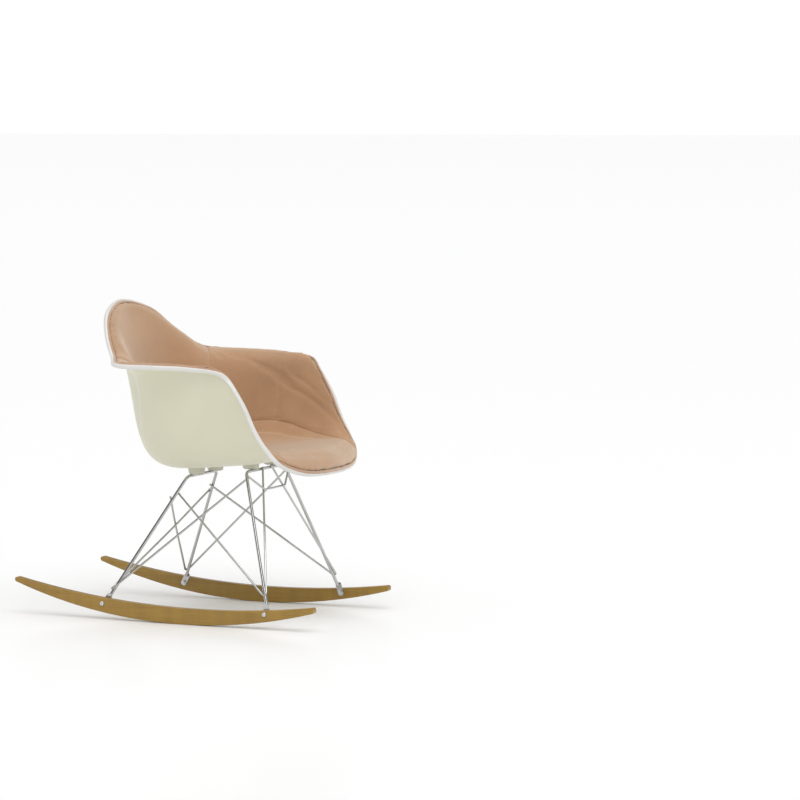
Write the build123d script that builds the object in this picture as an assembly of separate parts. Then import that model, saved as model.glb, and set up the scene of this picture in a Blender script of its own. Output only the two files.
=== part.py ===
from build123d import *
import math
import os

# Rocking chair: a moulded tub armchair with a sewn lining, on a welded wire base with two maple rockers.
# The chair faces -Y, +Z is up, and the origin lies on the floor under the middle of the base,
# on the line where the rockers touch the floor. All lengths are in millimetres.

# ------------------------------------------------------------------ driving dimensions: rockers
ROCKER_SPACING = 432          # centre to centre, across the chair
ROCKER_THICKNESS = 20
ROCKER_REAR_TIP = 455         # y of the rear tip
ROCKER_FRONT_TIP = -345       # y of the front tip
ROLLING_RADIUS = 1327         # arc of the underside, lowest at y = 0
UPPER_RADIUS = 2280           # flatter arc of the upper edge
UPPER_LOWEST_Y = -37
UPPER_LOWEST_Z = 38.4
ROCKER_TIP_ROUNDING = 6
ROCKER_EDGE_ROUNDING = 2.5

# ------------------------------------------------------------------ driving dimensions: wire base
LEG_D = 7.5
STRUT_D = 5
WELD = 0.4                    # how far two welded rods sink into each other
REAR_SCREW = (214.6, 39)      # (y, z) of the screw through a rocker
FRONT_SCREW = (-217.5, 37)
FOOT_Z = 54                   # height of the cut end of a leg, on its flattened tab
REAR_CORNER = (79, 58, 338)   # top corner of the rear leg frame, on the +X side
FRONT_CORNER = (105, -112, 358)
CORNER_BEND = 18
HAIRPIN_BEND = 6
HAIRPIN_PAST_LEG = 3          # the bend's outside stands this far past the leg
REAR_HAIRPIN_Z = 69           # where the small bend of a strut hugs the leg above its foot
FRONT_HAIRPIN_Z = 79
REAR_STRUT_END_Z = 283        # where a rear strut crosses the opposite rear leg
FRONT_STRUT_END_Z = 300       # where a front strut crosses the rear leg of its own side
LEG_TOP_JOIN_Z = 345          # where a rear strut and the brace meet the front leg
STUB = 7                      # length of strut left standing past the leg it is welded to
CROSS_ROD_JOIN_X = 25         # where a front strut meets the front cross rod
BRACE_CORNER_Z = 311
BRACE_BEND = 9

# ------------------------------------------------------------------ driving dimensions: fixings
TAB_THICKNESS = 2.5
TAB_WIDTH = 15
TAB_BELOW_SCREW = 10
TAB_ABOVE_SCREW = 24
TAB_ROUNDING = 6.8
SCREW_D = 6
SCREW_HOLE_D = 6.6
SCREW_HEAD_D = 11
SCREW_HEAD_HEIGHT = 3
SCREW_HEAD_ROUNDING = 2
SCREW_SOCKET_D = 4
SCREW_SOCKET_DEPTH = 1.8
SCREW_END_GAP = 0.4           # between the screw's end and the bottom of the nut's bore
WASHER_D = 13
WASHER_THICKNESS = 1.2
NUT_D = 10                    # over the corners of its six flats
NUT_HEX_HEIGHT = 3.6
NUT_DOME_D = 8
NUT_DOME_HEIGHT = 2.4
NUT_DOME_ROUNDING = 1.8
NUT_BORE_DEPTH = 4.4
PLATE_D = 34
PLATE_THICKNESS = 2
PLATE_ROUNDING = 0.8
MOUNT_OFFSET = 10             # from a cross rod's axis to the mount's axis, towards the chair's middle
REAR_MOUNT_X = 50
FRONT_MOUNT_X = 58
MOUNT_BASE_D = 38
MOUNT_TOP_D = 46
MOUNT_REACH = 30              # longer than the gap to the shell; the shell's underside trims it
INSERT_D = 14
INSERT_HEIGHT = 5
INSERT_BORE_DEPTH = 4
MOUNT_SCREW_D = 5
MOUNT_SCREW_HEAD_D = 9
MOUNT_SCREW_HEAD_HEIGHT = 3
MOUNT_SCREW_HEAD_ROUNDING = 1.2
MOUNT_SCREW_SOCKET_D = 3.4
MOUNT_SCREW_SOCKET_DEPTH = 1.5
MOUNT_SCREW_REACH = 6         # above the underside of the plate
FIT = 0.15                    # clearance between parts that touch

# ------------------------------------------------------------------ driving dimensions: tub
WALL = 4.5                    # moulded wall
FLOOR_Z = 362                 # underside of the tub's floor at y = 0
FLOOR_SLOPE = 0.093           # the floor falls towards the back
FLOOR_DISC_R = 70             # flat round middle of the floor
FOAM_WALL = 8                 # foam on the walls and arms
FOAM_SEAT = 22                # foam on the seat
SEAT_END = 0.1                # up the meridian, where the foam starts to thin
WALL_START = 0.65             # and where it has reached its thickness on the walls
COVER = 1.5                   # sewn cover
LAYER_GAP = 0.3
LINING_MARGIN = 6             # the lining stops this far short of the rim
TRIM_DEPTH = 5.5
TRIM_HALF_HEIGHT = 5.5
TRIM_MIDDLE = 3               # above the underside of the wall
TRIM_SQUARENESS = 0.65
PIPING_R = 2.6
PIPING_MIDDLE = 7.7           # above the underside of the wall
PIPING_BACK = -5.4            # short of the rim
PIPING_SQUARENESS = 0.8
PROFILE_STEPS = 12

# Design stations of the tub, on the +X side, from the middle of the front edge round to the middle of
# the back. Each is a meridian from the floor to the rim: (x, y) of the bend at the foot of the wall,
# then the wall, the shoulder and the rim as (x, y, z). The first three steer a spline, the rim is on it.
STATIONS = [
    ((0, -160), (0, -235, 400), (0, -285, 392), (0, -294, 357)),
    ((95, -155), (110, -225, 400), (122, -272, 392), (127, -280, 362)),
    ((160, -135), (185, -200, 405), (204, -240, 405), (207, -252, 386)),
    ((175, -100), (210, -160, 420), (232, -208, 432), (236, -228, 422)),
    ((185, -70), (222, -120, 440), (238, -178, 475), (245, -200, 469)),
    ((188, -45), (230, -85, 460), (243, -140, 540), (250, -169, 536)),
    ((190, -15), (236, -35, 470), (248, -92, 614), (256, -122, 597)),
    ((190, 30), (238, 15, 475), (250, -20, 620), (273, -42, 610)),
    ((182, 62), (234, 62, 475), (250, 60, 620), (294, 55, 613)),
    ((158, 112), (208, 118, 475), (228, 106, 620), (288, 138, 615)),
    ((132, 140), (174, 150, 480), (182, 130, 618), (220, 185, 630)),
    ((98, 158), (136, 180, 490), (143, 180, 640), (164, 232, 681)),
    ((62, 172), (84, 200, 490), (98, 216, 648), (107, 261, 728)),
    ((0, 178), (0, 208, 490), (0, 229, 648), (0, 282, 751)),
]
STEPS_BETWEEN_STATIONS = 4
STEPS_UP_A_MERIDIAN = 18
SURFACE_TOLERANCE = 0.0001

HALF_SPACING = ROCKER_SPACING / 2
INNER_FACE = HALF_SPACING - ROCKER_THICKNESS / 2
OUTER_FACE = HALF_SPACING + ROCKER_THICKNESS / 2
LEG_FOOT_X = INNER_FACE - TAB_THICKNESS - LEG_D / 2 + WELD
RODS_TOUCH = (LEG_D + STRUT_D) / 2 - WELD
SIDES = {"left": 1, "right": -1}


# ------------------------------------------------------------------ small helpers
def save(shape, name):
    shape.label = name
    export_step(shape, f"parts/{name}.step")


def group(solids):
    return Compound(children=list(solids))


def flip(point, side):
    return (point[0] * side, point[1], point[2])


def between(a, b, t):
    return tuple(p + (q - p) * t for p, q in zip(a, b))


def at_height(a, b, z):
    return between(a, b, (z - a[2]) / (b[2] - a[2]))


def rod(points, diameter, bend):
    path = FilletPolyline(*points, radius=bend) if len(points) > 2 else Line(*points)
    section = Plane(origin=path @ 0, z_dir=path % 0) * Circle(diameter / 2)
    return sweep(section, path=path)


def disc(centre, diameter, height):
    return Pos(*centre) * Cylinder(diameter / 2, height, align=(Align.CENTER, Align.CENTER, Align.MIN))


# ------------------------------------------------------------------ the tub's surface
def floor_height(y):
    return FLOOR_Z - FLOOR_SLOPE * y


def station_points(index):
    """The five points that steer the meridian at a station, with the stations mirrored past either end."""
    last = len(STATIONS) - 1
    side = 1
    if index < 0:
        index, side = -index, -1
    if index > last:
        index, side = 2 * last - index, -1
    bend, wall, shoulder, rim = STATIONS[index]
    turn = math.pi * index / last
    start = (FLOOR_DISC_R * math.sin(turn), -FLOOR_DISC_R * math.cos(turn))
    flat = [(x, y, floor_height(y)) for x, y in (start, bend)]
    return [flip(p, side) for p in flat + [wall, shoulder, rim]]


def through(p0, p1, p2, p3, t):
    """A smooth curve through p1 and p2, one coordinate at a time."""
    return tuple(
        0.5 * (2 * b + (c - a) * t + (2 * a - 5 * b + 4 * c - d) * t**2 + (3 * b - a - 3 * c + d) * t**3)
        for a, b, c, d in zip(p0, p1, p2, p3)
    )


def steered(points, t):
    """A cubic B-spline steered by five points: it starts on the first and ends on the last."""
    knots = [0, 0, 0, 0, 0.5, 1, 1, 1, 1]
    span = 3 if t < 0.5 else 4
    work = [points[span - 3 + j] for j in range(4)]
    for level in range(1, 4):
        for j in range(3, level - 1, -1):
            low = knots[j + span - 3]
            high = knots[j + 1 + span - level]
            work[j] = between(work[j - 1], work[j], (t - low) / (high - low))
    return work[3]


def tub_point(u, v):
    """u runs from the front (0) to the back (last station), v from the floor (0) to the rim (1)."""
    index = math.floor(u)
    rows = [station_points(index + k) for k in (-1, 0, 1, 2)]
    points = [through(*column, u - index) for column in zip(*rows)]
    return steered(points, v)


def tub_frame(u, v):
    """The point, the direction up the meridian, and the normal into the tub."""
    step = 1e-4
    top = len(STATIONS) - 1
    u_low, u_high = max(u - step, -0.5), min(u + step, top + 0.5)
    v_low, v_high = max(v - step, 0), min(v + step, 1)
    along = Vector(*tub_point(u_high, v)) - Vector(*tub_point(u_low, v))
    up = (Vector(*tub_point(u, v_high)) - Vector(*tub_point(u, v_low))).normalized()
    normal = up.cross(along).normalized()
    if v == 0:
        normal = Vector(0, FLOOR_SLOPE, 1).normalized()
    return Vector(*tub_point(u, v)), up, normal


def spread(low, high, steps):
    return [low + (high - low) * k / steps for k in range(steps + 1)]


def half_round():
    last = len(STATIONS) - 1
    return spread(0, last, last * STEPS_BETWEEN_STATIONS)


def tub_grid(offset, end):
    """Points of one half of the tub, lifted off the wall's underside by offset(v), up to v = end(u)."""
    grid = []
    for u in half_round():
        row = []
        for v in spread(0, end(u), STEPS_UP_A_MERIDIAN):
            point, _, normal = tub_frame(u, v)
            row.append(point + normal * offset(v))
        grid.append(row)
    return grid


def rim_grid(profile):
    """Points of one half of a strip that follows the rim. The profile is (outwards, into the tub)."""
    grid = []
    for u in half_round():
        point, up, normal = tub_frame(u, 1)
        across = up.cross(normal).normalized()
        inward = across.cross(up).normalized()
        grid.append([point + up * out + inward * lift for out, lift in profile])
    for row in (grid[0], grid[-1]):
        row[:] = [Vector(0, p.Y, p.Z) for p in row]
    return grid


def both_halves(grid):
    mirrored = [[Vector(-p.X, p.Y, p.Z) for p in row] for row in grid]
    return [
        Face.make_surface_from_array_of_points(points, tol=SURFACE_TOLERANCE, min_deg=3, max_deg=5)
        for points in (grid, mirrored)
    ]


def edge_at(face, point):
    """The edge of a face whose middle lies nearest to a point."""
    return min(face.edges(), key=lambda edge: edge.distance_to(Vertex(*point)))


def closed_solid(faces):
    solid = Solid(Shell(faces))
    if solid.volume < 0:
        solid = Solid(Shell([-face for face in faces]))
    return solid


def tub_layer(low, high, end):
    """A closed layer of the tub between two offsets, from the floor to a line near the rim."""
    low_grid = tub_grid(low, end)
    high_grid = tub_grid(high, end)
    lows = both_halves(low_grid)
    highs = both_halves(high_grid)
    middle = len(low_grid) // 2
    faces = lows + highs
    for grid, halves in ((low_grid, lows), (high_grid, highs)):
        ring = []
        for side, face in zip((1, -1), halves):
            start = grid[middle][0]
            ring.append(edge_at(face, (start.X * side, start.Y, start.Z)))
        faces.append(Face(Wire(ring)))
    for side, low_face, high_face in zip((1, -1), lows, highs):
        rims = []
        for grid, face in ((low_grid, low_face), (high_grid, high_face)):
            end_point = grid[middle][-1]
            rims.append(edge_at(face, (end_point.X * side, end_point.Y, end_point.Z)))
        faces.append(Face.make_surface_from_curves(*rims))
    return closed_solid(faces)


def rim_strip(profile):
    """A closed strip round the rim: a rounded outside and a flat back between the profile's two ends."""
    grid = rim_grid(profile)
    faces = []
    middle = len(grid) // 2
    for side, face in zip((1, -1), both_halves(grid)):
        ends = [grid[middle][0], grid[middle][-1]]
        backs = [edge_at(face, (p.X * side, p.Y, p.Z)) for p in ends]
        faces += [face, Face.make_surface_from_curves(backs[0], backs[1].reversed())]
    return closed_solid(faces)


def rounded_profile(back, depth, middle, half_height, squareness):
    """A half-round profile. A squareness of 1 is round and a smaller one is boxier."""
    profile = []
    for turn in spread(0, math.pi, PROFILE_STEPS):
        rise = math.cos(turn)
        out = back + depth * abs(math.sin(turn)) ** squareness
        profile.append((out, middle - half_height * math.copysign(abs(rise) ** squareness, rise)))
    return profile


# ------------------------------------------------------------------ seat
def seat_shell():
    return tub_layer(lambda v: 0, lambda v: WALL, lambda u: 1)


def foam_thickness(v):
    """Thick on the seat, thin on the walls, with a smooth change at the foot of the wall."""
    t = min(max((v - SEAT_END) / (WALL_START - SEAT_END), 0), 1)
    return FOAM_SEAT + (FOAM_WALL - FOAM_SEAT) * t * t * (3 - 2 * t)


FOAM_BOTTOM = WALL + LAYER_GAP


def foam_top(v):
    return FOAM_BOTTOM + foam_thickness(v)


def lining_end(u):
    """How far up its meridian the lining reaches: a fixed margin short of the rim."""
    step = 0.001
    last_piece = Vector(*tub_point(u, 1)) - Vector(*tub_point(u, 1 - step))
    return 1 - LINING_MARGIN * step / last_piece.length


def foam_pad():
    return tub_layer(lambda v: FOAM_BOTTOM, foam_top, lining_end)


def fabric_cover():
    return tub_layer(
        lambda v: foam_top(v) + LAYER_GAP,
        lambda v: foam_top(v) + LAYER_GAP + COVER,
        lining_end,
    )


def edge_trim():
    return rim_strip(rounded_profile(2 * FIT, TRIM_DEPTH, TRIM_MIDDLE, TRIM_HALF_HEIGHT, TRIM_SQUARENESS))


def cover_piping():
    return rim_strip(rounded_profile(PIPING_BACK, 2 * PIPING_R, PIPING_MIDDLE, PIPING_R, PIPING_SQUARENESS))


# ------------------------------------------------------------------ base: bent rods
def leg_foot(screw, corner):
    """Where the leg's axis ends, on the line from the screw to the frame's top corner."""
    screw_point = (LEG_FOOT_X, screw[0], screw[1])
    foot = at_height(screw_point, corner, FOOT_Z)
    return (LEG_FOOT_X, foot[1], FOOT_Z)


REAR_FOOT = leg_foot(REAR_SCREW, REAR_CORNER)
FRONT_FOOT = leg_foot(FRONT_SCREW, FRONT_CORNER)


def leg_frame(foot, corner):
    points = [foot, corner, flip(corner, -1), flip(foot, -1)]
    return rod(points, LEG_D, CORNER_BEND)


def on_leg(foot, corner, height, side=1):
    return Vector(*flip(at_height(foot, corner, height), side))


def leg_run(foot, corner, side):
    return Vector(*flip(corner, side)) - Vector(*flip(foot, side))


def beside(point, run, other_run, towards, gap):
    """A point moved off a rod, square to both rods that meet there, towards a given side."""
    square = run.cross(other_run).normalized()
    if square.dot(Vector(*towards)) < 0:
        square = square * -1
    return point + square * gap


def hairpin(centre, first_end, second_end, towards):
    """The corner point of a strut's small bend, which lies against the outside of a leg."""
    first = (first_end - centre).normalized()
    second = (second_end - centre).normalized()
    middle = (first + second).normalized()
    half_angle = math.radians(first.get_angle(second)) / 2
    overshoot = HAIRPIN_BEND / math.sin(half_angle) - HAIRPIN_BEND
    return beside(centre, first, second, towards, RODS_TOUCH) - middle * (overshoot + HAIRPIN_PAST_LEG)


def past(start, end, extra):
    """The end of a run, carried on by a short stub."""
    return end + (end - start).normalized() * extra


def rear_strut(side):
    """From behind the opposite rear leg, round its own rear foot, to its own front leg's top.

    The two rear struts touch where they cross, and each is bowed a little to let the other by.
    """
    centre = on_leg(REAR_FOOT, REAR_CORNER, REAR_HAIRPIN_Z, side)
    far_leg = on_leg(REAR_FOOT, REAR_CORNER, REAR_STRUT_END_Z, -side)
    front_leg = on_leg(FRONT_FOOT, FRONT_CORNER, LEG_TOP_JOIN_Z, side)
    far_run = leg_run(REAR_FOOT, REAR_CORNER, -side)
    far_join = beside(far_leg, far_leg - centre, far_run, (0, 1, 0), RODS_TOUCH)
    front_run = leg_run(FRONT_FOOT, FRONT_CORNER, side)
    front_join = beside(front_leg, front_leg - centre, front_run, (-side, 0, 0), RODS_TOUCH)
    bend = hairpin(centre, far_join, front_join, (side, 1, 0))
    run = far_join - bend
    crossing = bend - run * (bend.X / run.X)
    bow = beside(crossing, run, Vector(-run.X, run.Y, run.Z), (0, side, 0), (STRUT_D - WELD) / 2)
    points = [past(bow, far_join, STUB), bow, bend, past(bend, front_join, STUB / 2)]
    return rod(points, STRUT_D, HAIRPIN_BEND)


def front_strut_points(side):
    """From its own rear leg, round its own front foot, to the front cross rod."""
    centre = on_leg(FRONT_FOOT, FRONT_CORNER, FRONT_HAIRPIN_Z, side)
    rear_leg = on_leg(REAR_FOOT, REAR_CORNER, FRONT_STRUT_END_Z, side)
    cross_rod = Vector(CROSS_ROD_JOIN_X * side, FRONT_CORNER[1], FRONT_CORNER[2])
    rear_run = leg_run(REAR_FOOT, REAR_CORNER, side)
    rear_join = beside(rear_leg, rear_leg - centre, rear_run, (-side, 0, 0), RODS_TOUCH)
    rod_join = beside(cross_rod, cross_rod - centre, Vector(1, 0, 0), (0, -1, 0), RODS_TOUCH)
    bend = hairpin(centre, rear_join, rod_join, (side, -1, 0))
    return [past(bend, rear_join, STUB), bend, past(bend, rod_join, STUB / 2)]


def front_strut(side):
    return rod(front_strut_points(side), STRUT_D, HAIRPIN_BEND)


def front_brace():
    """A shallow U between the front legs, lying against both front struts on the way."""
    ends = []
    for side in (1, -1):
        _, bend, top = front_strut_points(side)
        share = (BRACE_CORNER_Z - bend.Z) / (top.Z - bend.Z)
        on_strut = bend + (top - bend) * share
        corner = beside(on_strut, top - bend, Vector(1, 0, 0), (0, -1, 0), STRUT_D - WELD)
        front_leg = on_leg(FRONT_FOOT, FRONT_CORNER, LEG_TOP_JOIN_Z, side)
        front_run = leg_run(FRONT_FOOT, FRONT_CORNER, side)
        leg_end = beside(front_leg, front_leg - corner, front_run, (0, -1, 0), RODS_TOUCH)
        ends.append((past(corner, leg_end, STUB / 2), corner))
    (left_end, left_corner), (right_end, right_corner) = ends
    return rod([left_end, left_corner, right_corner, right_end], STRUT_D, BRACE_BEND)


# ------------------------------------------------------------------ base: feet, plates, mounts
def foot_tab(screw, corner, side):
    """The flattened foot of a leg, flat on the rocker's inner face and leaning with the leg."""
    lean = math.degrees(math.atan2(corner[1] - screw[0], corner[2] - screw[1]))
    length = TAB_BELOW_SCREW + TAB_ABOVE_SCREW
    middle = (TAB_ABOVE_SCREW - TAB_BELOW_SCREW) / 2
    outline = Pos(0, middle) * RectangleRounded(TAB_WIDTH, length, TAB_ROUNDING)
    outline -= Circle(SCREW_HOLE_D / 2)
    face = Plane(origin=(INNER_FACE, screw[0], screw[1]), x_dir=(0, 1, 0), z_dir=(1, 0, 0))
    tab = extrude(face * Rot(0, 0, -lean) * outline, amount=-TAB_THICKNESS)
    return tab if side > 0 else mirror(tab, about=Plane.YZ)


def mount_places():
    """(name, x, y, height of the cross rod's axis) of the four mounts."""
    places = []
    for side_name, side in SIDES.items():
        rear_y = REAR_CORNER[1] - MOUNT_OFFSET
        front_y = FRONT_CORNER[1] + MOUNT_OFFSET
        places.append((f"rear_{side_name}", REAR_MOUNT_X * side, rear_y, REAR_CORNER[2]))
        places.append((f"front_{side_name}", FRONT_MOUNT_X * side, front_y, FRONT_CORNER[2]))
    return places


def plate_bottom(rod_z):
    return rod_z + LEG_D / 2 - WELD


def mount_plate(x, y, rod_z):
    z = plate_bottom(rod_z)
    plate = disc((x, y, z), PLATE_D, PLATE_THICKNESS)
    plate = fillet(plate.edges().filter_by(GeomType.CIRCLE), PLATE_ROUNDING)
    return plate - disc((x, y, z), MOUNT_SCREW_D + 2 * FIT, PLATE_THICKNESS)


def shock_mount(x, y, rod_z, shell):
    """A rubber frustum between the plate and the shell. The shell's underside gives its top."""
    z = plate_bottom(rod_z) + PLATE_THICKNESS
    body = Pos(x, y, z) * Cone(
        MOUNT_BASE_D / 2, MOUNT_TOP_D / 2, MOUNT_REACH, align=(Align.CENTER, Align.CENTER, Align.MIN)
    )
    below = min((body - shell).solids(), key=lambda s: s.center().Z)
    pocket = disc((x, y, z), INSERT_D, INSERT_HEIGHT)
    return below - pocket


def mount_insert(x, y, rod_z):
    z = plate_bottom(rod_z) + PLATE_THICKNESS
    body = disc((x, y, z), INSERT_D, INSERT_HEIGHT)
    return body - disc((x, y, z), MOUNT_SCREW_D + 2 * FIT, INSERT_BORE_DEPTH)


def mount_screw(x, y, rod_z):
    z = plate_bottom(rod_z)
    shank = disc((x, y, z), MOUNT_SCREW_D, MOUNT_SCREW_REACH)
    head = disc((x, y, z - MOUNT_SCREW_HEAD_HEIGHT), MOUNT_SCREW_HEAD_D, MOUNT_SCREW_HEAD_HEIGHT)
    head = fillet(head.edges().group_by(Axis.Z)[0], MOUNT_SCREW_HEAD_ROUNDING)
    hexagon = RegularPolygon(MOUNT_SCREW_SOCKET_D / 2, 6)
    socket = Pos(x, y, z - MOUNT_SCREW_HEAD_HEIGHT) * extrude(hexagon, amount=MOUNT_SCREW_SOCKET_DEPTH)
    return shank + head - socket


# ------------------------------------------------------------------ rockers
def rocker(side):
    def lower(y):
        return ROLLING_RADIUS - math.sqrt(ROLLING_RADIUS**2 - y**2)

    def upper(y):
        rise = UPPER_RADIUS - math.sqrt(UPPER_RADIUS**2 - (y - UPPER_LOWEST_Y) ** 2)
        return UPPER_LOWEST_Z + rise

    rear, front = ROCKER_REAR_TIP, ROCKER_FRONT_TIP
    bottom = ThreePointArc((rear, lower(rear)), (0, 0), (front, lower(front)))
    top = ThreePointArc((front, upper(front)), (UPPER_LOWEST_Y, UPPER_LOWEST_Z), (rear, upper(rear)))
    tips = [Line(bottom @ 1, top @ 0), Line(top @ 1, bottom @ 0)]
    outline = make_face([bottom, tips[0], top, tips[1]])
    outline = fillet(outline.vertices(), ROCKER_TIP_ROUNDING)
    face = Plane(origin=(HALF_SPACING, 0, 0), x_dir=(0, 1, 0), z_dir=(1, 0, 0))
    runner = extrude(face * outline, amount=ROCKER_THICKNESS / 2, both=True)
    faces = (runner.faces().sort_by(Axis.X)[0], runner.faces().sort_by(Axis.X)[-1])
    runner = fillet([edge for face in faces for edge in face.edges()], ROCKER_EDGE_ROUNDING)
    for y, z in (REAR_SCREW, FRONT_SCREW):
        across = Plane(origin=(HALF_SPACING, y, z), z_dir=(1, 0, 0))
        runner -= across * Cylinder(SCREW_HOLE_D / 2, 2 * ROCKER_THICKNESS)
    return runner if side > 0 else mirror(runner, about=Plane.YZ)


def across_the_chair(shape, screw, x, side):
    """Turn a piece made along +Z so that it lies along +X at a screw's place."""
    placed = Plane(origin=(x, screw[0], screw[1]), x_dir=(0, 1, 0), z_dir=(1, 0, 0)) * shape
    return placed if side > 0 else mirror(placed, about=Plane.YZ)


def rocker_screw():
    """Domed head outside, at z = 0, and a shank that runs in through the rocker and the tab."""
    length = ROCKER_THICKNESS + TAB_THICKNESS + WASHER_THICKNESS + NUT_BORE_DEPTH - SCREW_END_GAP
    shank = Pos(0, 0, -length) * disc((0, 0, 0), SCREW_D, length)
    head = disc((0, 0, 0), SCREW_HEAD_D, SCREW_HEAD_HEIGHT)
    head = fillet(head.edges().group_by(Axis.Z)[-1], SCREW_HEAD_ROUNDING)
    hexagon = RegularPolygon(SCREW_SOCKET_D / 2, 6)
    socket = Pos(0, 0, SCREW_HEAD_HEIGHT - SCREW_SOCKET_DEPTH) * extrude(hexagon, amount=SCREW_SOCKET_DEPTH)
    return shank + head - socket


def rocker_washer():
    return disc((0, 0, 0), WASHER_D, WASHER_THICKNESS) - disc((0, 0, 0), SCREW_HOLE_D, WASHER_THICKNESS)


def rocker_nut():
    """A domed cap nut, its seat at z = 0 and its dome towards -Z."""
    body = extrude(RegularPolygon(NUT_D / 2, 6), amount=-NUT_HEX_HEIGHT)
    dome = disc((0, 0, -NUT_HEX_HEIGHT - NUT_DOME_HEIGHT), NUT_DOME_D, NUT_DOME_HEIGHT)
    dome = fillet(dome.edges().group_by(Axis.Z)[0], NUT_DOME_ROUNDING)
    return body + dome - disc((0, 0, -NUT_BORE_DEPTH), SCREW_D + 2 * FIT, NUT_BORE_DEPTH)


def fixings(shape, x):
    """One of a fixing at each of the four screws."""
    screws = (REAR_SCREW, FRONT_SCREW)
    return [across_the_chair(shape, screw, x, side) for side in SIDES.values() for screw in screws]


# ------------------------------------------------------------------ build and export
os.makedirs("parts", exist_ok=True)

shell = seat_shell()
save(shell, "seat_shell")
save(edge_trim(), "edge_trim")
save(foam_pad(), "foam_pad")
save(fabric_cover(), "fabric_cover")
save(cover_piping(), "cover_piping")

save(leg_frame(REAR_FOOT, REAR_CORNER), "rear_leg_frame")
save(leg_frame(FRONT_FOOT, FRONT_CORNER), "front_leg_frame")
save(front_brace(), "front_brace")

for side_name, side in SIDES.items():
    save(rear_strut(side), f"rear_strut_{side_name}")
    save(front_strut(side), f"front_strut_{side_name}")
    save(foot_tab(REAR_SCREW, REAR_CORNER, side), f"foot_tab_rear_{side_name}")
    save(foot_tab(FRONT_SCREW, FRONT_CORNER, side), f"foot_tab_front_{side_name}")
    save(rocker(side), f"rocker_{side_name}")

for place, x, y, rod_z in mount_places():
    save(mount_plate(x, y, rod_z), f"mount_plate_{place}")
    save(shock_mount(x, y, rod_z, shell), f"shock_mount_{place}")

save(group(mount_insert(x, y, z) for _, x, y, z in mount_places()), "mount_inserts")
save(group(mount_screw(x, y, z) for _, x, y, z in mount_places()), "mount_screws")
save(group(fixings(rocker_screw(), OUTER_FACE)), "rocker_screws")
save(group(fixings(rocker_washer(), INNER_FACE - TAB_THICKNESS - WASHER_THICKNESS)), "rocker_washers")
save(group(fixings(rocker_nut(), INNER_FACE - TAB_THICKNESS - WASHER_THICKNESS)), "rocker_nuts")
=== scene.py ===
import math
import bmesh
import bpy
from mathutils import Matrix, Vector, noise
from mathutils.bvhtree import BVHTree
from mathutils.kdtree import KDTree


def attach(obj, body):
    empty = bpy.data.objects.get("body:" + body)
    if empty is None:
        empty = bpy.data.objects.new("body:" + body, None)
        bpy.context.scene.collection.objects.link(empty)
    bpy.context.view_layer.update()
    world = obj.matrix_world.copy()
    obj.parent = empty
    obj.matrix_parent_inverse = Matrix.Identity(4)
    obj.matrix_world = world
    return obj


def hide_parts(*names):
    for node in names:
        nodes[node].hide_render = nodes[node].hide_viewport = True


# A rocking chair: a moulded tub with a sewn lining stands on a welded wire base with two maple rockers.
# The chair faces -Y, +Z is up, the origin is on the floor under the middle. Lengths are in metres.
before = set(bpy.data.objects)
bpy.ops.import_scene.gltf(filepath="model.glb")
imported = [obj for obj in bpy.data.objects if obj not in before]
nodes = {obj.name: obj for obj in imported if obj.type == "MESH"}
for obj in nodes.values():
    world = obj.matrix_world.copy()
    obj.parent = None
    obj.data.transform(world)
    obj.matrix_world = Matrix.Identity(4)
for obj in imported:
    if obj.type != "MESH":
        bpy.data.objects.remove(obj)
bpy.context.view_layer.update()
bpy.ops.object.select_all(action="DESELECT")


# ------------------------------------------------------------------ rockers
# The runners are solid maple, sawn to two arcs and rounded over on every edge, then stained golden and
# varnished satin. The grain runs straight along the board, with a faint curly figure across it.

def new_material(name, roughness=0.5):
    """A material with one Principled shader, and a quick way to add and join its nodes."""
    material = bpy.data.materials.new(name)
    material.use_nodes = True
    shader = material.node_tree.nodes["Principled BSDF"]
    shader.inputs["Roughness"].default_value = roughness
    return material, material.node_tree, shader


def add_node(tree, kind, values=None, **settings):
    node = tree.nodes.new(kind)
    for key, value in settings.items():
        setattr(node, key, value)
    for socket, value in (values or {}).items():
        node.inputs[socket].default_value = value
    return node


def ramp(tree, source, stops):
    """A colour ramp fed by source. Each stop is (position, colour)."""
    node = tree.nodes.new("ShaderNodeValToRGB")
    elements = node.color_ramp.elements
    while len(elements) < len(stops):
        elements.new(0.5)
    for element, (position, colour) in zip(elements, stops):
        element.position = position
        element.color = (*colour, 1)
    tree.links.new(source, node.inputs["Fac"])
    return node.outputs["Color"]


def stretched_noise(tree, stretch, scale, detail=3.0, distortion=0.0):
    """Noise on Object coordinates, stretched by a Mapping node."""
    place = add_node(tree, "ShaderNodeTexCoord")
    mapping = add_node(tree, "ShaderNodeMapping", {"Scale": stretch})
    noise = add_node(
        tree, "ShaderNodeTexNoise", {"Scale": scale, "Detail": detail, "Distortion": distortion}
    )
    tree.links.new(place.outputs["Object"], mapping.inputs["Vector"])
    tree.links.new(mapping.outputs["Vector"], noise.inputs["Vector"])
    return noise.outputs["Fac"]


def blend_colours(tree, mode, factor, first, second):
    """A Mix node for colours. The factor is a number or a socket, the others sockets or colours."""
    mix = add_node(tree, "ShaderNodeMix", data_type="RGBA", blend_type=mode)
    sockets = (mix.inputs[0], mix.inputs[6], mix.inputs[7])
    for socket, value in zip(sockets, (factor, first, second)):
        if isinstance(value, bpy.types.NodeSocket):
            tree.links.new(value, socket)
        elif isinstance(value, tuple):
            socket.default_value = (*value, 1)
        else:
            socket.default_value = value
    return mix.outputs[2]


def bump(tree, height, distance, strength=1.0, normal=None):
    node = add_node(tree, "ShaderNodeBump", {"Strength": strength, "Distance": distance})
    tree.links.new(height, node.inputs["Height"])
    if normal is not None:
        tree.links.new(normal, node.inputs["Normal"])
    return node.outputs["Normal"]


def dress(material, *names):
    for name in names:
        nodes[name].material_slots[0].material = material


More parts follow.
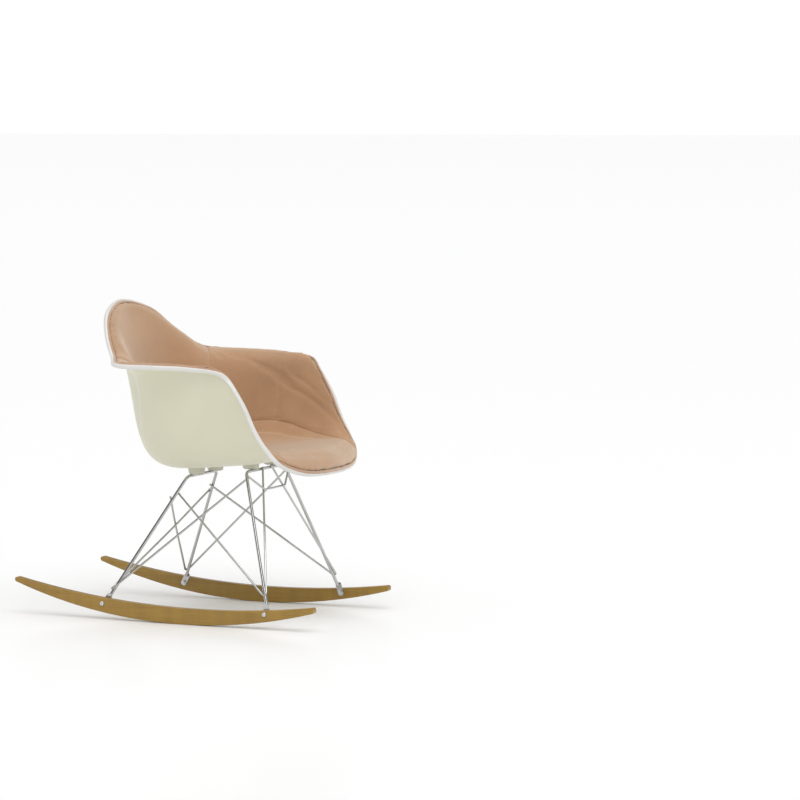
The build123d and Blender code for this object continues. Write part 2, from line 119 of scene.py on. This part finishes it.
maple, tree, shader = new_material("varnished_maple", 0.36)
fibres = stretched_noise(tree, (90, 2.2, 90), 6, detail=5, distortion=0.4)
figure = stretched_noise(tree, (3, 26, 3), 1.6, detail=3)
rings = stretched_noise(tree, (10, 0.6, 10), 2.5, detail=3, distortion=1.4)
wood = ramp(tree, fibres, [(0.32, (0.285, 0.160, 0.014)), (0.68, (0.365, 0.215, 0.028))])
rings_tint = ramp(tree, rings, [(0.35, (0.82, 0.80, 0.70)), (0.65, (1.0, 1.0, 1.0))])
wood = blend_colours(tree, "MULTIPLY", 0.6, wood, rings_tint)
figure_tint = ramp(tree, figure, [(0.38, (0.84, 0.83, 0.78)), (0.62, (1.0, 1.0, 1.0))])
wood = blend_colours(tree, "MULTIPLY", 0.7, wood, figure_tint)
tree.links.new(wood, shader.inputs["Base Color"])
tree.links.new(bump(tree, fibres, 0.0002, 0.25), shader.inputs["Normal"])
shader.inputs["Coat Weight"].default_value = 0.3
shader.inputs["Coat Roughness"].default_value = 0.25
dress(maple, "rocker_left", "rocker_right")


# ------------------------------------------------------------------ wire base
# Two bent leg frames of thick rod carry thin struts, which hug each leg above its foot in a tight bend.
# All of it is steel wire, resistance welded where the rods touch, then chromed bright.

chrome, tree, shader = new_material("chromed_wire", 0.12)
smudges = stretched_noise(tree, (1, 1, 1), 45, detail=3)
smudge_gloss = ramp(tree, smudges, [(0.3, (0.10,) * 3), (0.75, (0.20,) * 3)])
tree.links.new(smudge_gloss, shader.inputs["Roughness"])
shader.inputs["Base Color"].default_value = (0.52, 0.52, 0.51, 1)
shader.inputs["Metallic"].default_value = 1
wires = [name for name in nodes if "leg_frame" in name or "strut" in name or "brace" in name]
plates = [name for name in nodes if "mount_plate" in name or "foot_tab" in name]
dress(chrome, *wires, *plates)


# ------------------------------------------------------------------ fixings
# Four button-head screws run through the rockers into washers and cap nuts, and four more hold the tub's
# mounts from below. They are zinc plated steel, a little duller than the chrome.

zinc, tree, shader = new_material("zinc_plate", 0.3)
grains = stretched_noise(tree, (1, 1, 1), 900, detail=2)
plating = ramp(tree, grains, [(0.35, (0.60, 0.60, 0.61)), (0.65, (0.74, 0.74, 0.73))])
tree.links.new(plating, shader.inputs["Base Color"])
shader.inputs["Metallic"].default_value = 1
dress(zinc, "rocker_screws", "rocker_washers", "rocker_nuts", "mount_screws", "mount_inserts")


# ------------------------------------------------------------------ shock mounts
# Soft rubber frustums, cream like the tub, bonded to its underside. Each one sits on a steel plate.

rubber, tree, shader = new_material("mount_rubber", 0.6)
dust = stretched_noise(tree, (1, 1, 1), 120, detail=4)
dull_cream = ramp(tree, dust, [(0.3, (0.56, 0.55, 0.44)), (0.7, (0.62, 0.61, 0.50))])
tree.links.new(dull_cream, shader.inputs["Base Color"])
tree.links.new(bump(tree, dust, 0.0003, 0.3), shader.inputs["Normal"])
dress(rubber, *[name for name in nodes if "shock_mount" in name])


# ------------------------------------------------------------------ tub
# The tub is one moulding of cream plastic, 4.5 mm thick, open at the front and top. Its satin skin shows
# a very fine pebble.

shell_plastic, tree, shader = new_material("cream_plastic", 0.38)
pebble = stretched_noise(tree, (1, 1, 1), 1400, detail=2)
waves = stretched_noise(tree, (1, 1, 1), 9, detail=2)
cream = ramp(tree, waves, [(0.3, (0.655, 0.635, 0.485)), (0.7, (0.68, 0.66, 0.51))])
tree.links.new(cream, shader.inputs["Base Color"])
tree.links.new(bump(tree, pebble, 0.00008, 0.35), shader.inputs["Normal"])
dress(shell_plastic, "seat_shell")


# ------------------------------------------------------------------ edge trim
# A band of glossy white vinyl clipped over the rim all the way round. It hides the cut edge of the tub.

trim_vinyl, tree, shader = new_material("white_vinyl", 0.28)
smears = stretched_noise(tree, (1, 1, 1), 30, detail=3)
white = ramp(tree, smears, [(0.3, (0.68, 0.67, 0.64)), (0.7, (0.72, 0.71, 0.68))])
tree.links.new(white, shader.inputs["Base Color"])
dress(trim_vinyl, "edge_trim")


# ------------------------------------------------------------------ upholstery
# The lining is moulded foam under a sewn cover of woven wool, in four panels: seat, back and two arms.
# The foam is thick on the seat and thin on the walls. It is glued into the tub, so only its outer side
# swells, and it is drawn in along the seams between the panels.

LINING_VOXEL = 0.005
LINING_FRAMES = 20
LINING_PRESSURE = 4
GLUED_WITHIN = 0.004          # of the tub
SEAT_SWELL = 0.006
WALL_SWELL = 0.0022
SEAT_SWELL_STARTS = -0.02     # this far inside the seat's seam
SEAT_HALF_WIDTH = 0.200       # of the seat panel, from its middle to the seam
SEAT_BACK = 0.165             # y of the seam behind the seat
SEAT_STRAIGHT_Y = -0.02       # in front of this the seam runs straight
SEAT_ROUNDNESS = 2.6
BACK_CORNER = math.radians(34.6)   # bearing of the seam between back and arm, from the tub's middle
ARM_SEAM_Y = -0.042           # of the light seam across each arm
ARM_SEAM_SHARE = 0.35         # of the other seams' depth
ARM_SEAM_NARROWING = 1.2
SEAM_SLOPE_LIMIT = 0.25       # keeps the seat's seam from spreading on steep walls
SEAM_DEPTH = 0.0022
SEAM_WIDTH = 0.0018
EDGE_ROLL = 0.0026            # how far the edge of the padding stands out beside the trim
EDGE_ROLL_REACH = 0.022
DRAW_DEPTH = 0.0022           # how far the padding is drawn in on both sides of a seam
DRAW_WIDTH = 0.010
SEAT_WRINKLE = 0.0016         # height of the small wrinkles above the seat's seam
SEAT_WRINKLE_REACH = 0.05
CORNER_WRINKLE = 0.0012       # beside the seam between arm and back
CORNER_WRINKLE_REACH = 0.035
BACK_GATHER = 0.0018          # along the edge of the back
BACK_GATHER_REACH = 0.045
BACK_GATHER_STARTS = 0.02     # past the seam between arm and back
SLACK = 0.0009                # broad unevenness of the foam
SEAT_FRONT_Z = 0.405          # below this the front of the seat turns down


def merged_copy(name, *node_names):
    """A new piece from the meshes of CAD nodes, with their loose triangles merged."""
    shape = bmesh.new()
    for node_name in node_names:
        shape.from_mesh(nodes[node_name].data)
    bmesh.ops.remove_doubles(shape, verts=shape.verts, dist=0.00002)
    mesh = bpy.data.meshes.new(name)
    shape.to_mesh(mesh)
    shape.free()
    piece = bpy.data.objects.new(name, mesh)
    bpy.context.scene.collection.objects.link(piece)
    bpy.ops.object.select_all(action="DESELECT")
    bpy.context.view_layer.objects.active = piece
    piece.select_set(True)
    return piece


def apply_modifier(piece, name, kind, **settings):
    modifier = piece.modifiers.new(name, kind)
    for key, value in settings.items():
        setattr(modifier, key, value)
    bpy.context.view_layer.objects.active = piece
    bpy.ops.object.modifier_apply(modifier=name)


def inflate(piece, pressure, frames, cap_at):
    """Swell a piece by cloth simulation. Each point moves along its normal, up to cap_at(point)."""
    starts = [vertex.co.copy() for vertex in piece.data.vertices]
    normals = [vertex.normal.copy() for vertex in piece.data.vertices]
    cloth_run = piece.modifiers.new("cloth_run", "CLOTH")
    cloth_run.settings.use_pressure = True
    cloth_run.settings.uniform_pressure_force = pressure
    cloth_run.settings.effector_weights.gravity = 0
    if "glued" in piece.vertex_groups:
        cloth_run.settings.vertex_group_mass = "glued"
    cloth_run.point_cache.frame_start = 1
    cloth_run.point_cache.frame_end = frames
    for frame_number in range(1, frames + 1):
        bpy.context.scene.frame_set(frame_number)
    bpy.ops.object.modifier_apply(modifier="cloth_run")
    bpy.context.scene.frame_set(1)
    for vertex, start, normal in zip(piece.data.vertices, starts, normals):
        rise = (vertex.co - start).dot(normal)
        vertex.co = start + normal * min(max(rise, 0.0), cap_at(start))


def tree_of(node_name):
    """A search tree over a CAD node's faces."""
    mesh = nodes[node_name].data
    corners = [vertex.co for vertex in mesh.vertices]
    return BVHTree.FromPolygons(corners, [tuple(face.vertices) for face in mesh.polygons])


def seat_side(point):
    """Signed distance in plan from the seat's seam, negative on the seat."""
    across = abs(point.x) / SEAT_HALF_WIDTH
    if point.y < SEAT_STRAIGHT_Y:
        return (across - 1) * SEAT_HALF_WIDTH
    reach = SEAT_BACK - SEAT_STRAIGHT_Y
    along = (point.y - SEAT_STRAIGHT_Y) / reach
    radius = (across**SEAT_ROUNDNESS + along**SEAT_ROUNDNESS) ** (1 / SEAT_ROUNDNESS)
    return (radius - 1) * math.hypot(point.x, point.y - SEAT_STRAIGHT_Y) / max(radius, 0.05)


def back_side(point):
    """Signed distance in plan from the seam between arm and back, positive on the back."""
    return point.y * math.cos(BACK_CORNER) - abs(point.x) * math.sin(BACK_CORNER)


def lining_swell(point):
    return SEAT_SWELL if seat_side(point) < SEAT_SWELL_STARTS else WALL_SWELL


lining = merged_copy("seat_lining", "foam_pad")
apply_modifier(lining, "even_mesh", "REMESH", mode="VOXEL", voxel_size=LINING_VOXEL)
tub_faces = tree_of("seat_shell")
glued = lining.vertex_groups.new(name="glued")
held = [v.index for v in lining.data.vertices if tub_faces.find_nearest(v.co)[3] < GLUED_WITHIN]
glued.add(held, 1.0, "REPLACE")
inflate(lining, LINING_PRESSURE, LINING_FRAMES, lining_swell)
lining.vertex_groups.clear()
apply_modifier(lining, "ease", "SMOOTH", factor=0.5, iterations=4)
apply_modifier(lining, "fine_mesh", "SUBSURF", levels=1, render_levels=1)

rim_points = KDTree(len(nodes["edge_trim"].data.vertices))
for vertex in nodes["edge_trim"].data.vertices:
    rim_points.insert(vertex.co, vertex.index)
rim_points.balance()


def groove(distance):
    """How deep a seam pulls the cover in at this distance from it."""
    stitched = SEAM_DEPTH * math.exp(-((distance / SEAM_WIDTH) ** 2))
    return stitched + DRAW_DEPTH * math.exp(-((distance / DRAW_WIDTH) ** 2))


def fade(distance, reach):
    """1 at no distance, falling to 0 at the reach."""
    return max(0.0, 1 - distance / reach) ** 2


places = [vertex.co.copy() for vertex in lining.data.vertices]
outward = [vertex.normal.copy() for vertex in lining.data.vertices]
for vertex, point, normal in zip(lining.data.vertices, places, outward):
    if tub_faces.find_nearest(point)[3] < GLUED_WITHIN:
        continue
    beside_seat = seat_side(point) / max(normal.z, SEAM_SLOPE_LIMIT)
    outside_seat = seat_side(point) > 0
    sunk = groove(beside_seat)
    corner_gap = back_side(point)
    if outside_seat:
        sunk += groove(corner_gap)
        sunk += ARM_SEAM_SHARE * groove((point.y - ARM_SEAM_Y) * ARM_SEAM_NARROWING)
    edge_gap = rim_points.find(point)[2]
    ripple = EDGE_ROLL * fade(edge_gap, EDGE_ROLL_REACH)
    if outside_seat:
        pulled = noise.noise(Vector((point.y * 22, point.x * 30, point.z * 120)))
        ripple += SEAT_WRINKLE * pulled * fade(abs(beside_seat), SEAT_WRINKLE_REACH)
        pulled = noise.noise(Vector((point.x * 60, point.y * 60, point.z * 70)))
        ripple += CORNER_WRINKLE * pulled * fade(abs(corner_gap), CORNER_WRINKLE_REACH)
    if corner_gap > BACK_GATHER_STARTS:
        gathers = noise.noise(Vector((point.x * 14, point.y * 14, point.z * 95)))
        ripple += BACK_GATHER * gathers * fade(edge_gap, BACK_GATHER_REACH)
    slack = noise.noise(point * 9.0 + Vector((3.1, 0.4, 7.7)))
    vertex.co = point + normal * (ripple + SLACK * slack - sunk)

lining.data.polygons.foreach_set("use_smooth", [True] * len(lining.data.polygons))
panel_map = lining.data.uv_layers.new(name="panels")
for face in lining.data.polygons:
    middle = face.center
    on_seat = seat_side(middle) < 0
    on_back = back_side(middle) > 0
    for corner in face.loop_indices:
        x, y, z = lining.data.vertices[lining.data.loops[corner].vertex_index].co
        if on_seat:
            place = (x, y + min(z - SEAT_FRONT_Z, 0.0))
        elif on_back:
            place = (x + 1, z)
        else:
            place = (y + 2, z)
        panel_map.data[corner].uv = place


def maths(tree, operation, first, second=0.0):
    """A Math node. Its two values are numbers or sockets."""
    node = add_node(tree, "ShaderNodeMath", operation=operation)
    for socket, value in zip(node.inputs, (first, second)):
        if isinstance(value, bpy.types.NodeSocket):
            tree.links.new(value, socket)
        else:
            socket.default_value = value
    return node.outputs[0]


def woven_cloth_group():
    """Plain weave: where warp and weft lie on top, how high the yarns stand, and a tone from the slubs
    that is darker where the yarns lie low, painted shade in the crevices.
    """
    tree = bpy.data.node_groups.new("woven_cloth", "ShaderNodeTree")
    tree.interface.new_socket("Place", in_out="INPUT", socket_type="NodeSocketVector")
    tree.interface.new_socket("Yarns per metre", in_out="INPUT", socket_type="NodeSocketFloat")
    tree.interface.new_socket("Height", in_out="OUTPUT", socket_type="NodeSocketFloat")
    tree.interface.new_socket("Slubs and crevice shade", in_out="OUTPUT", socket_type="NodeSocketFloat")
    inputs = add_node(tree, "NodeGroupInput")
    outputs = add_node(tree, "NodeGroupOutput")
    wobble = add_node(tree, "ShaderNodeTexNoise", {"Scale": 160.0, "Detail": 2.0})
    tree.links.new(inputs.outputs["Place"], wobble.inputs["Vector"])
    split = add_node(tree, "ShaderNodeSeparateXYZ")
    tree.links.new(inputs.outputs["Place"], split.inputs["Vector"])
    waves = []
    for axis in ("X", "Y"):
        shifted = maths(tree, "MULTIPLY_ADD", wobble.outputs["Fac"], 0.0012)
        tree.links.new(split.outputs[axis], shifted.node.inputs[2])
        turns = maths(tree, "MULTIPLY", shifted, inputs.outputs["Yarns per metre"])
        waves.append(maths(tree, "SINE", maths(tree, "MULTIPLY", turns, math.pi)))
    checks = maths(tree, "MULTIPLY", waves[0], waves[1])
    height = maths(tree, "MULTIPLY_ADD", checks, 0.5)
    height.node.inputs[2].default_value = 0.5
    slubs = add_node(tree, "ShaderNodeTexNoise", {"Scale": 420.0, "Detail": 3.0})
    tree.links.new(inputs.outputs["Place"], slubs.inputs["Vector"])
    tree.links.new(height, outputs.inputs["Height"])
    # Lower yarns get a darker tone: painted shade in the weave's crevices. The slubs add the yarn's own
    # uneven tone.
    crevice_shade = maths(tree, "MULTIPLY", height, 0.45)
    from_slubs = maths(tree, "MULTIPLY", slubs.outputs["Fac"], 0.55)
    slubs_and_crevice_shade = maths(tree, "ADD", crevice_shade, from_slubs)
    tree.links.new(slubs_and_crevice_shade, outputs.inputs["Slubs and crevice shade"])
    return tree


woven_cloth = woven_cloth_group()
YARNS_PER_METRE = 820.0


def wool(name, dark, light, uv_name=None):
    """Wool cloth on the weave group, with a soft fuzz and slight clouds of colour."""
    material, tree, shader = new_material(name, 0.9)
    if uv_name:
        place = add_node(tree, "ShaderNodeUVMap", uv_map=uv_name).outputs["UV"]
    else:
        place = add_node(tree, "ShaderNodeTexCoord").outputs["Object"]
    weave = add_node(tree, "ShaderNodeGroup", node_tree=woven_cloth)
    weave.inputs["Yarns per metre"].default_value = YARNS_PER_METRE
    tree.links.new(place, weave.inputs["Place"])
    # The dark end of the ramp falls on the darker slubs and in the weave's crevices, where it is painted
    # shade.
    colour = ramp(tree, weave.outputs["Slubs and crevice shade"], [(0.25, dark), (0.75, light)])
    clouds = stretched_noise(tree, (1, 1, 1), 16, detail=4)
    cloud_tint = ramp(tree, clouds, [(0.35, (0.90, 0.89, 0.87)), (0.65, (1.0, 1.0, 1.0))])
    colour = blend_colours(tree, "MULTIPLY", 0.8, colour, cloud_tint)
    flecks = stretched_noise(tree, (1, 1, 1), 330, detail=3)
    fleck_tint = ramp(tree, flecks, [(0.35, (0.90, 0.88, 0.86)), (0.6, (1.0, 1.0, 1.0))])
    colour = blend_colours(tree, "MULTIPLY", 0.7, colour, fleck_tint)
    tree.links.new(colour, shader.inputs["Base Color"])
    tree.links.new(bump(tree, weave.outputs["Height"], 0.0004, 0.6), shader.inputs["Normal"])
    shader.inputs["Sheen Weight"].default_value = 1.0
    shader.inputs["Sheen Roughness"].default_value = 0.45
    shader.inputs["Sheen Tint"].default_value = (1.0, 0.91, 0.78, 1)
    shader.inputs["Specular IOR Level"].default_value = 0.2
    return material


cover_wool = wool("terracotta_wool", (0.375, 0.205, 0.110), (0.545, 0.345, 0.205), "panels")
lining.data.materials.append(cover_wool)
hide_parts("foam_pad", "fabric_cover")
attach(lining, "root")


# ------------------------------------------------------------------ piping
# A cord sewn into a strip of the same wool closes the edge of the lining, tucked in beside the trim.
# The strip is gathered a little on its bends, so the cord's outline is not quite even.

PIPING_VOXEL = 0.0016
PIPING_FULLNESS = 0.0010
PUCKER = 0.0004
piping = merged_copy("lining_piping", "cover_piping")
apply_modifier(piping, "even_mesh", "REMESH", mode="VOXEL", voxel_size=PIPING_VOXEL)
places = [vertex.co.copy() for vertex in piping.data.vertices]
outward = [vertex.normal.copy() for vertex in piping.data.vertices]
for vertex, point, normal in zip(piping.data.vertices, places, outward):
    puckers = noise.noise(Vector((point.x * 130, point.y * 130, point.z * 130)))
    vertex.co = point + normal * (PIPING_FULLNESS + PUCKER * puckers)
apply_modifier(piping, "ease", "SMOOTH", factor=0.4, iterations=1)
piping.data.polygons.foreach_set("use_smooth", [True] * len(piping.data.polygons))
# The piping gets lighter colours than the lining's wool: a painted highlight along the round cord.
piping_wool_painted_highlight = wool("piping_wool_painted_highlight", (0.42, 0.24, 0.15), (0.58, 0.38, 0.265))
piping.data.materials.append(piping_wool_painted_highlight)
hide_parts("cover_piping")
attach(piping, "root")


# ------------------------------------------------------------------ floor, light and camera
# A white studio floor, faintly glossy, under a large overhead softbox in a white room. Only reflections
# see the dark cards that hang halfway up the room's walls, and they draw dark lines along the chrome.

FLOOR_WIDTH = 400

bpy.ops.mesh.primitive_plane_add(size=1, location=(0, 0, 0))
floor = bpy.context.object
floor.name = "studio_floor"
bpy.ops.object.mode_set(mode="EDIT")
bpy.ops.transform.resize(value=(FLOOR_WIDTH, FLOOR_WIDTH, 1))
bpy.ops.mesh.subdivide(number_cuts=4)
bpy.ops.object.mode_set(mode="OBJECT")
floor_paint, tree, shader = new_material("white_floor", 0.3)
shader.inputs["Base Color"].default_value = (0.93, 0.93, 0.93, 1)
shader.inputs["Specular IOR Level"].default_value = 0.15
floor.data.materials.append(floor_paint)

world = bpy.data.worlds.new("white_studio")
bpy.context.scene.world = world
world.use_nodes = True
tree = world.node_tree
background = tree.nodes["Background"]
background.inputs["Strength"].default_value = 0.76
direction = add_node(tree, "ShaderNodeTexCoord")
split = add_node(tree, "ShaderNodeSeparateXYZ")
tree.links.new(direction.outputs["Generated"], split.inputs["Vector"])
height = add_node(tree, "ShaderNodeMapRange", {"From Min": -0.3, "From Max": 1.0})
tree.links.new(split.outputs["Z"], height.inputs["Value"])
cards = [(0.0, 1.3), (0.38, 1.3), (0.44, 0.10), (0.62, 0.10), (0.8, 1.2)]
greys = [(level, (grey,) * 3) for level, grey in cards]
mirrored_room = ramp(tree, height.outputs["Result"], greys)
ray = add_node(tree, "ShaderNodeLightPath")
seen = blend_colours(tree, "MIX", ray.outputs["Is Glossy Ray"], (1.0, 1.0, 1.0), mirrored_room)
seen = blend_colours(tree, "MIX", ray.outputs["Is Camera Ray"], seen, (1.6, 1.6, 1.6))
tree.links.new(seen, background.inputs["Color"])

bpy.ops.object.light_add(type="SUN", location=(0, 0, 3))
softbox = bpy.context.object
softbox.name = "overhead_softbox"
softbox.data.energy = 1.5
softbox.data.angle = math.radians(60)
softbox.rotation_euler = Vector((-0.35, -0.30, 1)).to_track_quat("Z", "Y").to_euler()

CAMERA_AZIMUTH = math.radians(-66.248)
CAMERA_ELEVATION = math.radians(4.6545)
bpy.ops.object.camera_add(
    location=(-7.5685, -3.7981, 1.2077),
    rotation=(math.radians(90) - CAMERA_ELEVATION, 0, CAMERA_AZIMUTH),
)
camera = bpy.context.object
camera.data.sensor_width = 36
camera.data.lens = 157.52
bpy.context.scene.camera = camera
bpy.context.scene.view_settings.view_transform = "Standard"
